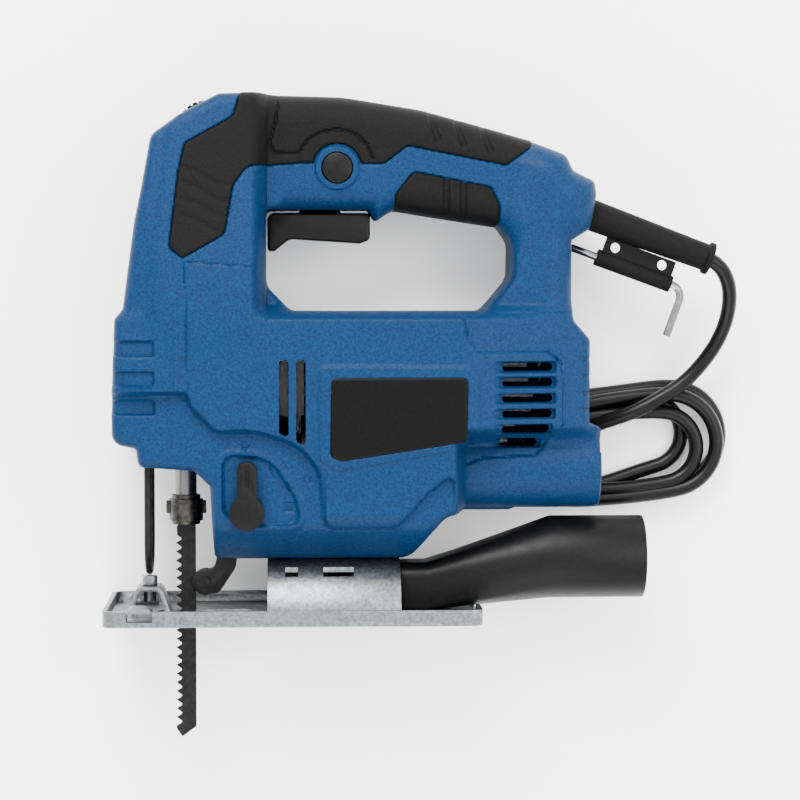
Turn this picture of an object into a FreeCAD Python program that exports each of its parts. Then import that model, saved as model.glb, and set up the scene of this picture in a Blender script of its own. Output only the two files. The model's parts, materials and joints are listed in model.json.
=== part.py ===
import FreeCAD, Part
import math
import os
from FreeCAD import Vector

# Jigsaw power tool, lying on its right side on a bench.
# Drawing frame, millimetres: x runs from the blade to the cord, y rises from the sole to the handle,
# z = 0 is the parting plane of the housing and +z is the tool's left side, which faces up.
# Every sub-part is moved into the row frame (origin at the bottom centre of the box) as it is saved.

# ---- driving dimensions ----
HALF_WIDTH = 34.0           # housing's widest part and base plate, from the middle plane
LOWER_HALF = 27.0           # recessed lower panel
HANDLE_HALF = 17.0
COLUMN_HALF = 20.0          # rear column, between handle and motor
WALL = 3.0
RUBBER = 1.6                # depth of the overmoulded grip
MOTOR_Y = 60.0              # motor axis above the sole
BARREL_R = 16.7
BARREL_END = 79.2
MODULE = 1.0                # gear module
PINION_TEETH = 10
WHEEL_TEETH = 50
BACKLASH = 0.12
GEAR_Y = MOTOR_Y + MODULE * (PINION_TEETH + WHEEL_TEETH) / 2
CRANK_R = 9.0               # half of the 18 mm stroke
PLUNGER_X = -85.4
PLUNGER_R = 4.2
RUN = 0.05                  # radial running clearance
GAP = 0.3                   # between faces of different moving bodies
SHAFT_R = 4.0
STATOR_R = 23.2
BORE_R = 13.6
ARMATURE_R = 13.0
SOLE_T = 2.0                # base plate sheet
PLATE_FRONT = -117.0
PLATE_REAR = 31.0
PLATE_HALF = 34.0
FLANGE_H = 6.2
ARCH_R = 25.2               # tilt bracket, outside
ARCH_T = 1.6
ARCH_FRONT = -53.0
ARCH_REAR = -0.6
TUBE_Y = 23.35              # dust tube mouth, centre height
TUBE_R = 16.5
TUBE_WALL = 2.0
TUBE_END = 97.6
BUTTON = (-25.4, 178.2)
BUTTON_R = 6.0
DIAL = (-77.7, 195.1)
DIAL_R = 10.0
LEVER = (-60.8, 43.9)
ROLLER = (-77.8, 14.0)
ROLLER_PIVOT = (-67.5, 36.0)
ROLLER_R = 5.2
BLADE_BACK = -81.6
BLADE_TEETH = -89.6
BLADE_T = 1.1
BLADE_TIP = -48.4
GUARD_X = -100.0            # finger guard wire
GUARD_HALF = 12.0
GUARD_R = 1.5
LABEL_T = 0.9
CORD_D = 6.0
RELIEF_START = (72.0, 162.0)
RELIEF_END = (125.0, 142.6)
KEY_R = 1.75                # hex key, across corners
PLUG_AT = (-3.0, 182.0)

# Route of the free lead (x, y, z): out of the strain relief, down to the bench and on to the hank.
LEAD_ROUTE = [
    (125.0, 142.6, 0), (130.2, 138.5, -1.5), (133.6, 131, -5), (134, 121, -10), (131, 110.5, -14),
    (125.2, 101, -17), (117.5, 92.5, -19.5),
]
# Route of the tail: out of the hank, behind the rear column and into the plug under the handle.
TAIL_ROUTE = [
    (60, 77.5, -30.9), (57.5, 92, -31), (56, 112, -30.8), (56.5, 133, -31), (56.5, 153, -30.6),
    (50, 170, -29.5), (35, 180.5, -27.6), (17, 182, -26.8),
]

# Side outline of the housing: (x, y, corner radius).
OUTLINE = [
    (-104, 68.8, 2), (-113.2, 70.5, 4), (-113.2, 118.5, 2), (-108.8, 123, 2), (-101.5, 171, 20),
    (-97.8, 189, 8), (-87, 198.3, 3), (-71.5, 207, 4), (-58, 207, 15), (-6, 204.8, 60),
    (20, 199.2, 30), (50.5, 189.5, 3), (66, 183, 5), (77.2, 173, 4), (76.2, 158, 6),
    (67.7, 150, 1.5), (67.6, 118.5, 3), (74.4, 111, 3), (74.4, 78, 1), (79.2, 76.7, 1),
    (79.2, 43.3, 2), (44, 43.3, 1), (17, 42.2, 9), (3, 24.2, 8), (-73.8, 24.2, 2), (-75, 54, 3),
    (-81.5, 60, 3), (-103.4, 61, 2),
]
HANDLE_HOLE = [
    (-53.4, 162, 2), (-53.4, 133, 12), (-44, 121.9, 8), (32.5, 121.9, 5), (43.6, 134.5, 8),
    (43.6, 149, 6), (38.5, 155.5, 4), (12, 160.2, 5), (-3, 162, 2),
]
GRIP_OUTLINE = [
    (-60.5, 215, 1), (-63.5, 201, 4), (-84.5, 187, 3), (-87.5, 176, 4), (-90.5, 147.5, 2),
    (-85, 142.4, 2), (-69.5, 151.5, 3), (-65.5, 173, 3), (-61, 180, 4), (-37.5, 180.4, 2),
    (-36, 170, 1), (-15, 170, 1), (-13, 179.7, 2), (-6.8, 179.7, 2), (1.5, 187, 3), (41.5, 179.6, 2),
    (50.5, 187, 1.5), (52, 215, 1),
]
FINGER_GRIP = [
    (-3.2, 161, 1), (-1.5, 172, 3), (5, 176.8, 3), (35, 170.8, 2), (38.8, 162, 3), (38.8, 154, 2),
    (12, 158, 2), (-3.2, 158, 1),
]
LABEL = [(-27, 66, 2), (21.5, 72, 2), (21.5, 95.5, 2), (-27, 95.5, 2)]
SCREWS = [
    (-105, 76), (-104, 135), (-66, 199), (-4, 196), (57, 176), (60, 108), (-44, 112), (10, 112),
    (-48, 31),
]
REAR_VENTS = [(58.8, 36, 104.4), (58.8, 36, 98.1), (58.8, 36, 91.9), (58.8, 36, 85.8), (56.5, 36, 79.7)]
FRONT_VENTS = [(-46.5, 103.4, 74), (-39.9, 103.4, 71)]

PLANES = {
    "z": (lambda a, b, c: Vector(a, b, c), Vector(0, 0, 1)),
    "y": (lambda a, b, c: Vector(a, c, b), Vector(0, 1, 0)),
    "x": (lambda a, b, c: Vector(c, a, b), Vector(1, 0, 0)),
}


# ---- drawing helpers ----
def inset_corners(corners, distance):
    """The same rounded outline with every side moved inwards by distance (outwards if negative)."""
    count = len(corners)
    area = sum(corners[i - 1][0] * corners[i][1] - corners[i][0] * corners[i - 1][1] for i in range(count))
    side = 1 if area > 0 else -1
    moved = []
    for i in range(count):
        x, y, radius = corners[i]
        before = corners[i - 1]
        after = corners[(i + 1) % count]
        ux, uy = x - before[0], y - before[1]
        vx, vy = after[0] - x, after[1] - y
        ul, vl = math.hypot(ux, uy), math.hypot(vx, vy)
        ux, uy, vx, vy = ux / ul, uy / ul, vx / vl, vy / vl
        cross = ux * vy - uy * vx
        nx, ny = -uy - vy, ux + vx
        scale = side * distance / (1 + ux * vx + uy * vy)
        new_radius = max(radius - distance * (1 if cross * side > 0 else -1), 0.3)
        moved.append((x + nx * scale, y + ny * scale, new_radius))
    return moved


def rounded_wire(corners, place, level):
    """Closed wire through corners (a, b, radius), each corner an arc tangent to its two sides."""
    starts, ends, middles = [], [], []
    count = len(corners)
    for i in range(count):
        a, b, radius = corners[i]
        p = Vector(a, b, 0)
        u = (Vector(*corners[i - 1][:2], 0) - p).normalize()
        v = (Vector(*corners[(i + 1) % count][:2], 0) - p).normalize()
        half = u.getAngle(v) / 2
        reach = radius / math.tan(half)
        bisector = (u + v).normalize()
        centre = p + bisector * (radius / math.sin(half))
        starts.append(p + u * reach)
        middles.append(centre - bisector * radius)
        ends.append(p + v * reach)
    edges = []
    for i in range(count):
        arc = [place(q.x, q.y, level) for q in (starts[i], middles[i], ends[i])]
        edges.append(Part.Arc(*arc).toShape())
        following = starts[(i + 1) % count]
        if (following - ends[i]).Length > 1e-4:
            edges.append(Part.LineSegment(arc[2], place(following.x, following.y, level)).toShape())
    return Part.Wire(edges)


def sharp_wire(points, place, level):
    """Closed wire of straight sides through points (a, b)."""
    return Part.makePolygon([place(a, b, level) for a, b in points + points[:1]])


def prism(corners, along, low, high):
    """Solid of a flat outline between two levels along an axis; corners may carry radii."""
    place, direction = PLANES[along]
    wire = rounded_wire(corners, place, low) if len(corners[0]) == 3 else sharp_wire(corners, place, low)
    return Part.Face(wire).extrude(direction * (high - low))


def block(low, high):
    return Part.makeBox(high[0] - low[0], high[1] - low[1], high[2] - low[2], Vector(*low))


def rod(start, end, radius, end_radius=None):
    """Round bar from start to end; tapered when end_radius is given."""
    a, b = Vector(*start), Vector(*end)
    if end_radius is None:
        return Part.makeCylinder(radius, (b - a).Length, a, b - a)
    return Part.makeCone(radius, end_radius, (b - a).Length, a, b - a)


def ring(start, end, outer, inner):
    return rod(start, end, outer).cut(rod(start, end, inner))


def fuse(shapes):
    result = shapes[0]
    for shape in shapes[1:]:
        result = result.fuse(shape)
    return result.removeSplitter()


def mirrored(shape):
    return shape.mirror(Vector(0, 0, 0), Vector(0, 0, 1))


def both_sides(shape):
    return [shape, mirrored(shape)]


def slot(x_low, x_high, y, height, z_low, z_high):
    r = height / 2
    corners = [(x_low, y - r, r - 0.01), (x_high, y - r, r - 0.01),
               (x_high, y + r, r - 0.01), (x_low, y + r, r - 0.01)]
    return prism(corners, "z", z_low, z_high)


# ---- housing ----
def housing_form(inset):
    """Outer form of the housing, or its cavity when inset is the wall's thickness."""
    deep = 60.0
    side = prism(inset_corners(OUTLINE, inset), "z", -deep, deep)
    side = side.cut(prism(inset_corners(HANDLE_HOLE, -inset), "z", -deep, deep))
    head_mask = inset_corners([(-125, 100, 1), (-50, 100, 1), (-50, 220, 1), (-125, 220, 1)], inset)
    head = prism(head_mask, "z", -deep, deep)
    head_section = [(90, -HALF_WIDTH, 1), (130, -HALF_WIDTH, 20), (207, -26, 8), (220, -14, 1),
                    (220, 14, 1), (207, 26, 8), (130, HALF_WIDTH, 20), (90, HALF_WIDTH, 1)]
    head = head.common(prism(inset_corners(head_section, inset), "x", -130, -40))
    block_mask = inset_corners([(-125, 66, 1), (100, 66, 1), (100, 118, 1), (-125, 118, 1)], inset)
    case = prism(block_mask, "z", -deep, deep)
    plan = [(-125, -26, 1), (-106, -HALF_WIDTH, 6), (22, -HALF_WIDTH, 10), (76, -20, 6), (100, -20, 1),
            (100, 20, 1), (76, 20, 6), (22, HALF_WIDTH, 10), (-106, HALF_WIDTH, 6), (-125, 26, 1)]
    case = case.common(prism(inset_corners(plan, inset), "y", 40, 130))
    nose_plan = inset_corners([(-125, -18, 1), (-98, -30, 5), (-60, -30, 1), (-60, 30, 1), (-98, 30, 5),
                               (-125, 18, 1)], inset)
    front = prism(nose_plan, "y", 50, 210)
    whole_plan = front.fuse(block((-82 + inset, 0, -deep), (110, 220, deep)))
    case = case.common(whole_plan)
    head = head.common(whole_plan)
    lower_mask = inset_corners([(-125, 10, 1), (24, 10, 1), (24, 84, 1), (-125, 84, 1)], inset)
    lower = prism(lower_mask, "z", -deep, deep)
    lower_section = [(0, -12, 1), (24.2, -12, 1), (38, -LOWER_HALF, 5), (90, -LOWER_HALF, 1),
                     (90, LOWER_HALF, 1), (38, LOWER_HALF, 5), (24.2, 12, 1), (0, 12, 1)]
    lower = lower.common(prism(inset_corners(lower_section, inset), "x", -130, 40))
    handle_mask = inset_corners([(-64, 140, 1), (60, 140, 1), (60, 220, 1), (-64, 220, 1)], inset)
    handle = prism(handle_mask, "z", inset - HANDLE_HALF, HANDLE_HALF - inset)
    column_mask = inset_corners([(35, 104, 1), (90, 104, 1), (90, 196, 1), (35, 196, 1)], inset)
    column = prism(column_mask, "z", inset - COLUMN_HALF, COLUMN_HALF - inset)
    barrel = rod((15, MOTOR_Y, 0), (BARREL_END - inset, MOTOR_Y, 0), BARREL_R - inset)
    zones = fuse([head, case, lower, handle, column])
    return side.common(zones).fuse(barrel.common(side)).removeSplitter()


def housing_cutters():
    """Everything that opens the shell: vents, plunger way, tilt channel, switch gear and cord entry."""
    cuts = []
    for right, left, y in REAR_VENTS:
        cuts += both_sides(slot(left + 2, right - 2, y, 3.4, 8, 40))
    for x, top, bottom in FRONT_VENTS:
        corners = [(x - 1.8, bottom, 1), (x + 1.8, bottom, 1), (x + 1.8, top, 1), (x - 1.8, top, 1)]
        cuts += both_sides(prism(corners, "z", 24, 40))
    cuts.append(rod((PLUNGER_X, 50, 0), (PLUNGER_X, 66, 0), PLUNGER_R + 1.0))
    cuts.append(rod((-60, 0, 0), (30, 0, 0), ARCH_R + 0.3))
    trigger_way = [(-53.6, 158, 1), (-11.6, 158, 1), (-11.6, 168, 1), (-53.6, 168, 1)]
    cuts.append(prism(trigger_way, "z", -7.8, 7.8))
    cuts.append(rod((*BUTTON, 8), (*BUTTON, 20), BUTTON_R + GAP))
    cuts.append(rod((*DIAL, -3.9), (*DIAL, 3.9), DIAL_R + 0.5))
    cuts.append(rod((*LEVER, 15), (*LEVER, 30), 3.0 + RUN))
    direction = Vector(RELIEF_END[0] - RELIEF_START[0], RELIEF_END[1] - RELIEF_START[1], 0).normalize()
    entry = Vector(*RELIEF_START, 0) - direction * 14
    cuts.append(Part.makeCylinder(6.6, 30, entry, direction))
    arm_way = [(-76, 20, 1), (-60, 20, 1), (-60, 42, 1), (-76, 42, 1)]
    cuts.append(prism(arm_way, "z", -4.3, 4.3))
    cuts.append(rod((*ROLLER_PIVOT, -8.1), (*ROLLER_PIVOT, 8.1), 2.02))
    for z in (-GUARD_HALF, GUARD_HALF):
        cuts.append(rod((GUARD_X, 55, z), (GUARD_X, 66, z), GUARD_R + RUN))
    cuts.append(block((-93.6, 61.9, -8.9), (-77.4, 71.1, 8.9)))
    return cuts + [label(1), label(-1)]


def half_widths(x, y):
    """Half-width of the housing at a screw, less the wall it starts from."""
    if y > 160 and x > -60:
        return HANDLE_HALF
    if x > 50:
        return COLUMN_HALF
    if y < 40:
        return 18.0
    return 26.0


def housing_ribs():
    """Cradles inside the left half: stator, bearings and plunger bushes."""
    cradle = prism([(30, 8), (90, 8), (90, 30), (30, 30)], "x", -36, -30)
    cradle = fuse([cradle, prism([(30, 8), (90, 8), (90, 30), (30, 30)], "x", -6, 0)])
    cradle = cradle.cut(rod((-40, MOTOR_Y, 0), (5, MOTOR_Y, 0), STATOR_R + 0.05))
    bearing = prism([(43, 4), (77, 4), (77, 20), (43, 20)], "x", 26, 33)
    bearing = bearing.cut(rod((20, MOTOR_Y, 0), (40, MOTOR_Y, 0), 11.02))
    bush_low = block((-94, 62, 9), (-77, 71, 32))
    bush_high = block((-94, 112, 9), (-77, 122, 32))
    return [cradle, bearing, bush_low, bush_high]


def housing_halves():
    outer = housing_form(0)
    cavity = housing_form(WALL)
    shell = outer.cut(cavity)
    extras = []
    for x, y in SCREWS:
        extras.append(rod((x, y, -half_widths(x, y)), (x, y, half_widths(x, y)), 3.6))
    for rib in housing_ribs():
        extras += both_sides(rib)
    shell = fuse([shell] + [extra.common(outer) for extra in extras])
    for cutter in housing_cutters():
        shell = shell.cut(cutter)
    collar = ring((*BUTTON, 14), (*BUTTON, 17.6), 8.6, BUTTON_R + GAP)
    shell = shell.fuse(collar)
    grips = {}
    skin = outer.cut(housing_form(RUBBER))
    hole = prism(inset_corners(HANDLE_HOLE, -0.01), "z", -60, 60)
    top = skin.common(prism(GRIP_OUTLINE, "z", -60, 60)).cut(rod((*BUTTON, -60), (*BUTTON, 60), 9.0))
    under = skin.common(prism(FINGER_GRIP, "z", -60, 60)).cut(hole)
    left_space = block((-200, -100, 0), (200, 300, 60))
    right_space = block((-200, -100, -60), (200, 300, 0))
    halves = {}
    for name, space in (("left", left_space), ("right", right_space)):
        grips["grip_" + name] = top.common(space)
        grips["finger_grip_" + name] = under.common(space)
        half = shell.common(space).cut(top).cut(under)
        for x, y in SCREWS:
            if name == "left":
                half = half.cut(rod((x, y, 0), (x, y, half_widths(x, y) - 7), 1.55))
            else:
                head_z = -half_widths(x, y) + 7
                half = half.cut(rod((x, y, -60), (x, y, head_z), 3.0))
                half = half.cut(rod((x, y, -60), (x, y, 0), 1.75))
        halves["housing_" + name] = largest(half)
    return {**halves, **{name: largest(shape) for name, shape in grips.items()}}


def largest(shape):
    """The biggest solid of a result, which drops slivers left by a cut."""
    return max(shape.Solids, key=lambda solid: solid.Volume)


def housing_screws():
    screws = []
    for x, y in SCREWS:
        head_z = -half_widths(x, y) + 7
        tip_z = half_widths(x, y) - 8.5
        head = rod((x, y, head_z - 2.6), (x, y, head_z), 2.8)
        cross = fuse([block((x - 1.8, y - 0.35, head_z - 2.7), (x + 1.8, y + 0.35, head_z - 1.3)),
                      block((x - 0.35, y - 1.8, head_z - 2.7), (x + 0.35, y + 1.8, head_z - 1.3))])
        screws.append(fuse([head.cut(cross), rod((x, y, head_z), (x, y, tip_z), 1.5)]))
    return Part.makeCompound(screws)


def label(side):
    """Plain plate let into the side of the housing."""
    plate = prism(LABEL, "z", HALF_WIDTH - LABEL_T, HALF_WIDTH)
    return plate if side > 0 else mirrored(plate)


# ---- motor and gear train ----
def stator_core():
    core = rod((-36, MOTOR_Y, 0), (0, MOTOR_Y, 0), STATOR_R).cut(rod((-37, MOTOR_Y, 0), (1, MOTOR_Y, 0), BORE_R))
    for z in (-1, 1):
        window = block((-37, MOTOR_Y - 8, 13.0), (1, MOTOR_Y + 8, 18.5))
        core = core.cut(window if z > 0 else mirrored(window))
    return core


def field_coils():
    coils = []
    for x in (-39.5, 0.2):
        coil = ring((x, MOTOR_Y, 0), (x + 3.3, MOTOR_Y, 0), 20.5, BORE_R + 1)
        coils.append(coil)
    bars = [block((-36.2, MOTOR_Y - 7.5, 15.0), (0.2, MOTOR_Y + 7.5, 18.3))]
    bars.append(mirrored(bars[0]))
    return fuse(coils + bars)


def motor_shaft():
    shaft = rod((-61, MOTOR_Y, 0), (34, MOTOR_Y, 0), SHAFT_R)
    return fuse([shaft, rod((-71.4, MOTOR_Y, 0), (-61, MOTOR_Y, 0), 2.5)])


def armature_core():
    core = ring((-35, MOTOR_Y, 0), (-1, MOTOR_Y, 0), ARMATURE_R, SHAFT_R)
    for k in range(9):
        angle = math.radians(40 * k)
        c, s = math.cos(angle), math.sin(angle)
        slot_box = block((-36, -1, 9.0), (0, 1, 14))
        slot_box.rotate(Vector(0, 0, 0), Vector(1, 0, 0), 40 * k)
        slot_box.translate(Vector(0, MOTOR_Y, 0))
        core = core.cut(slot_box)
    return core


def armature_windings():
    front = ring((-37.5, MOTOR_Y, 0), (-35, MOTOR_Y, 0), 11.5, SHAFT_R)
    return Part.makeCompound([front, ring((-1, MOTOR_Y, 0), (4, MOTOR_Y, 0), 11.5, SHAFT_R)])


def commutator():
    body = ring((5, MOTOR_Y, 0), (19, MOTOR_Y, 0), 9.5, SHAFT_R)
    for k in range(18):
        gap_box = block((4, -0.3, 8.7), (20, 0.3, 10))
        gap_box.rotate(Vector(0, 0, 0), Vector(1, 0, 0), 20 * k)
        gap_box.translate(Vector(0, MOTOR_Y, 0))
        body = body.cut(gap_box)
    return body


def fan():
    hub = ring((-50, MOTOR_Y, 0), (-43, MOTOR_Y, 0), 7, SHAFT_R)
    disc = ring((-44, MOTOR_Y, 0), (-42.5, MOTOR_Y, 0), 20.5, SHAFT_R)
    blades = []
    for k in range(12):
        blade_box = block((-50, -0.6, 6), (-43, 0.6, 20))
        blade_box.rotate(Vector(0, 0, 0), Vector(1, 0, 0), 30 * k)
        blade_box.translate(Vector(0, MOTOR_Y, 0))
        blades.append(blade_box)
    return fuse([hub, disc] + blades)


def brush_holders():
    holder = block((7, MOTOR_Y - 5, 11), (17, MOTOR_Y + 5, 23.6))
    holder = holder.cut(block((9, MOTOR_Y - 3.1, 10), (15, MOTOR_Y + 3.1, 22.5)))
    return Part.makeCompound(both_sides(holder))


def brushes():
    brush = block((9.1, MOTOR_Y - 3, 9.8), (14.9, MOTOR_Y + 3, 20)).cut(
        rod((0, MOTOR_Y, 0), (30, MOTOR_Y, 0), 9.6))
    return Part.makeCompound(both_sides(brush))


def bearing(x_low, x_high):
    outer = ring((x_low, MOTOR_Y, 0), (x_high, MOTOR_Y, 0), 11, 8.2)
    inner = ring((x_low, MOTOR_Y, 0), (x_high, MOTOR_Y, 0), 6.2, SHAFT_R + RUN)
    middle = (x_low + x_high) / 2
    web = ring((middle - 1.5, MOTOR_Y, 0), (middle + 1.5, MOTOR_Y, 0), 8.2, 6.2)
    return fuse([outer, inner, web])


def gear_wheel_outline(teeth, phase, centre_y):
    """Trapezoid teeth on a pitch circle; the flanks follow the involute closely at this module."""
    pitch = MODULE * teeth / 2
    points = []
    tooth_angle = 2 * math.pi / teeth
    for k in range(teeth):
        middle = phase + k * tooth_angle
        for radius, share in ((pitch - 1.2 * MODULE, -0.34), (pitch, -0.25), (pitch + 0.95 * MODULE, -0.12),
                              (pitch + 0.95 * MODULE, 0.12), (pitch, 0.25), (pitch - 1.2 * MODULE, 0.34)):
            width = share * tooth_angle - math.copysign(BACKLASH / 2 / pitch, share)
            angle = middle + width
            points.append((centre_y + radius * math.cos(angle), radius * math.sin(angle)))
    return points


def pinion():
    # A tooth of the pinion stands at +y, in a gap of the wheel above it.
    body = prism(gear_wheel_outline(PINION_TEETH, 0, MOTOR_Y), "x", -71.2, -62)
    return body.cut(rod((-74, MOTOR_Y, 0), (-60, MOTOR_Y, 0), 2.5))


def drive_gear():
    half_tooth = math.pi / WHEEL_TEETH
    body = prism(gear_wheel_outline(WHEEL_TEETH, math.pi + half_tooth, GEAR_Y), "x", -71, -63)
    return body.cut(rod((-74, GEAR_Y, 0), (-60, GEAR_Y, 0), 6)).cut(
        rod((-74, GEAR_Y, CRANK_R), (-67, GEAR_Y, CRANK_R), 2.5))


def gear_bush():
    return ring((-71, GEAR_Y, 0), (-63, GEAR_Y, 0), 6, SHAFT_R + RUN)


def gear_spindle():
    return fuse([rod((-60, GEAR_Y, 0), (-71.8, GEAR_Y, 0), SHAFT_R), rod((-71.4, GEAR_Y, 0), (-72.2, GEAR_Y, 0), 5.6)])


def crank_pin():
    return rod((-70.9, GEAR_Y, CRANK_R), (-77.9, GEAR_Y, CRANK_R), 2.5)


def crank_roller():
    return ring((-72.6, GEAR_Y, CRANK_R), (-77.6, GEAR_Y, CRANK_R), 4.5, 2.5 + RUN)


def balance_weight():
    disc = ring((-71, GEAR_Y, 0), (-73.5, GEAR_Y, 0), 22, 9)
    return disc.common(block((-80, GEAR_Y - 30, -30), (-60, GEAR_Y + 30, -3)))


def gear_plate():
    corners = [(40, -20, 5), (110, -20, 5), (110, 20, 5), (40, 20, 5)]
    plate = prism(corners, "x", -60.2, -56)
    plate = plate.fuse(ring((-60.2, MOTOR_Y, 0), (-53, MOTOR_Y, 0), 13.5, 11))
    plate = plate.cut(rod((-62, MOTOR_Y, 0), (-50, MOTOR_Y, 0), 11.02))
    return plate.cut(rod((-62, GEAR_Y, 0), (-50, GEAR_Y, 0), SHAFT_R))


# ---- plunger, clamp and blade ----
def plunger():
    bar = rod((PLUNGER_X, 40, 0), (PLUNGER_X, 138, 0), PLUNGER_R)
    return bar.cut(block((PLUNGER_X - 5, 39, -0.6), (PLUNGER_X + 5, 47, 0.6)))


def yoke():
    plate = prism([(83, -17, 2), (97, -17, 2), (97, 17, 2), (83, 17, 2)], "x", -81.2, -78.3)
    way = prism([(85.3, -14, 1), (94.7, -14, 1), (94.7, 14, 1), (85.3, 14, 1)], "x", -79.9, -78.0)
    plate = plate.cut(way)
    saddle = block((-83.5, 83, -7), (-81.2, 97, 7)).cut(rod((PLUNGER_X, 80, 0), (PLUNGER_X, 100, 0), PLUNGER_R))
    return fuse([plate, saddle])


def plunger_bush(low, high):
    bush = block((-93.5, low, -8.8), (-77.5, high, 8.8))
    return bush.cut(rod((PLUNGER_X, low - 1, 0), (PLUNGER_X, high + 1, 0), PLUNGER_R + RUN))


def clamp_body():
    body = rod((PLUNGER_X, 37.2, 0), (PLUNGER_X, 49.0, 0), 5.6)
    body = body.cut(rod((PLUNGER_X, 40, 0), (PLUNGER_X, 50, 0), PLUNGER_R))
    return body.cut(block((BLADE_TEETH - 1, 36, -0.6), (BLADE_BACK + 1, 40.5, 0.6)))


def clamp_ring():
    collar = ring((PLUNGER_X, 38.6, 0), (PLUNGER_X, 47.4, 0), 6.7, 5.65)
    lugs = [block((PLUNGER_X + 6.0, 41.5, -2), (PLUNGER_X + 7.9, 46.6, 2)),
            block((PLUNGER_X - 7.9, 41.5, -2), (PLUNGER_X - 6.0, 46.6, 2))]
    return fuse([collar] + lugs)


def blade():
    shank_top = 46.5
    points = [(BLADE_BACK, 37), (BLADE_BACK, -44.2), (-87.2, BLADE_TIP), (BLADE_TEETH, -45.0)]
    pitch = 3.5
    first = -44.0
    while first < 32:
        points += [(BLADE_TEETH, first), (-87.6, first + 1.2), (-87.4, first + 2.0), (BLADE_TEETH + 0.5, first + 3.2)]
        first += pitch
    points += [(BLADE_TEETH + 0.4, 36), (-88.6, 37), (-88.2, shank_top), (-82.6, shank_top), (-82.6, 37)]
    return prism(points, "z", -BLADE_T / 2, BLADE_T / 2)


def guard_wire():
    """U of round wire in front of the blade, its bend down towards the base."""
    bend_y = 30.5
    bend = Part.makeTorus(GUARD_HALF, GUARD_R, Vector(0, 0, 0), Vector(1, 0, 0))
    bend.translate(Vector(GUARD_X, bend_y, 0))
    bend = bend.common(block((GUARD_X - 5, 0, -20), (GUARD_X + 5, bend_y, 20)))
    legs = [rod((GUARD_X, bend_y, z), (GUARD_X, 65, z), GUARD_R) for z in (-GUARD_HALF, GUARD_HALF)]
    return fuse(legs + [bend])


# ---- controls ----
def trigger():
    corners = [(-52.8, 145.8, 1.2), (-52.8, 160.8, 3), (-12.2, 160.8, 1.5), (-12.2, 150.2, 2),
               (-16, 148.8, 1), (-44, 150.6, 4), (-50, 145.8, 1)]
    body = prism(corners, "z", -7.4, 7.4)
    return fuse([body, block((-40, 160, -3), (-24, 165.5, 3))])


def lock_button():
    return rod((*BUTTON, 11.4), (*BUTTON, 18.6), BUTTON_R)


def speed_dial():
    wheel = rod((*DIAL, -3.4), (*DIAL, 3.4), DIAL_R)
    for k in range(24):
        groove = block((DIAL_R - 0.6, -0.4, -4), (DIAL_R + 1, 0.4, 4))
        groove.rotate(Vector(0, 0, 0), Vector(0, 0, 1), 15 * k)
        groove.translate(Vector(*DIAL, 0))
        wheel = wheel.cut(groove)
    return wheel.cut(rod((*DIAL, -5), (*DIAL, 5), 2 + RUN))


def dial_pin():
    return rod((*DIAL, -12), (*DIAL, 12), 2)


def speed_module():
    return block((-88, 168, -14), (-66, 182, 14))


def switch_block():
    return block((-50, 170, -8), (-14, 188, 8))


def capacitor():
    return rod((10, 186, 0), (34, 182, 0), 6)


def cord_clamp():
    return block((49, 166.5, -7), (56, 172, 7)).cut(inner_cord())


def orbital_lever():
    x, y = LEVER
    z_low, z_high = LOWER_HALF + GAP, LOWER_HALF + 4.3
    hub = rod((x, y, z_low), (x, y, z_high), 6.8)
    arm = prism([(x - 3.9, y, 1), (x + 3.9, y, 1), (x + 3.9, y + 20, 3.8), (x - 3.9, y + 20, 3.8)], "z", z_low, z_high)
    arrow = slot(0, 7, 0, 1.6, z_high - 1, z_high + 1)
    arrow.rotate(Vector(0, 0, 0), Vector(0, 0, 1), 90)
    arrow.translate(Vector(x, y + 10, 0))
    spindle = rod((x, y, 21), (x, y, z_low), 3)
    return fuse([hub, arm, spindle]).cut(arrow)


def roller_arm():
    corners = [(-71.5, 38, 2), (-63.6, 38, 3), (-65.6, 20, 8), (-72.5, 9.6, 4), (-82.0, 9.6, 4), (-82.0, 18.2, 4),
               (-74.5, 19.0, 3), (-73.2, 24, 3)]
    arm = prism(corners, "z", -4, 4)
    arm = arm.cut(rod((*ROLLER, -3), (*ROLLER, 3), ROLLER_R + 0.4)).cut(block((-90, 5, -3), (-75, 25, 3)))
    arm = arm.cut(block((-90, 5, -5), (BLADE_BACK - 1.0, 25, 5)))
    arm = arm.cut(rod((*ROLLER, -6), (*ROLLER, 6), 2.0))
    return arm.cut(rod((*ROLLER_PIVOT, -6), (*ROLLER_PIVOT, 6), 2.0 + RUN))


def roller():
    wheel = rod((*ROLLER, -2.8), (*ROLLER, 2.8), ROLLER_R)
    groove = ring((*ROLLER, -0.7), (*ROLLER, 0.7), ROLLER_R + 1, ROLLER[0] - BLADE_BACK - GAP)
    return wheel.cut(groove).cut(rod((*ROLLER, -5), (*ROLLER, 5), 2.0 + RUN))


def roller_pin():
    return rod((*ROLLER, -4.6), (*ROLLER, 4.6), 2.0)


def arm_pivot():
    return rod((*ROLLER_PIVOT, -8), (*ROLLER_PIVOT, 8), 2.0)


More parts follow.
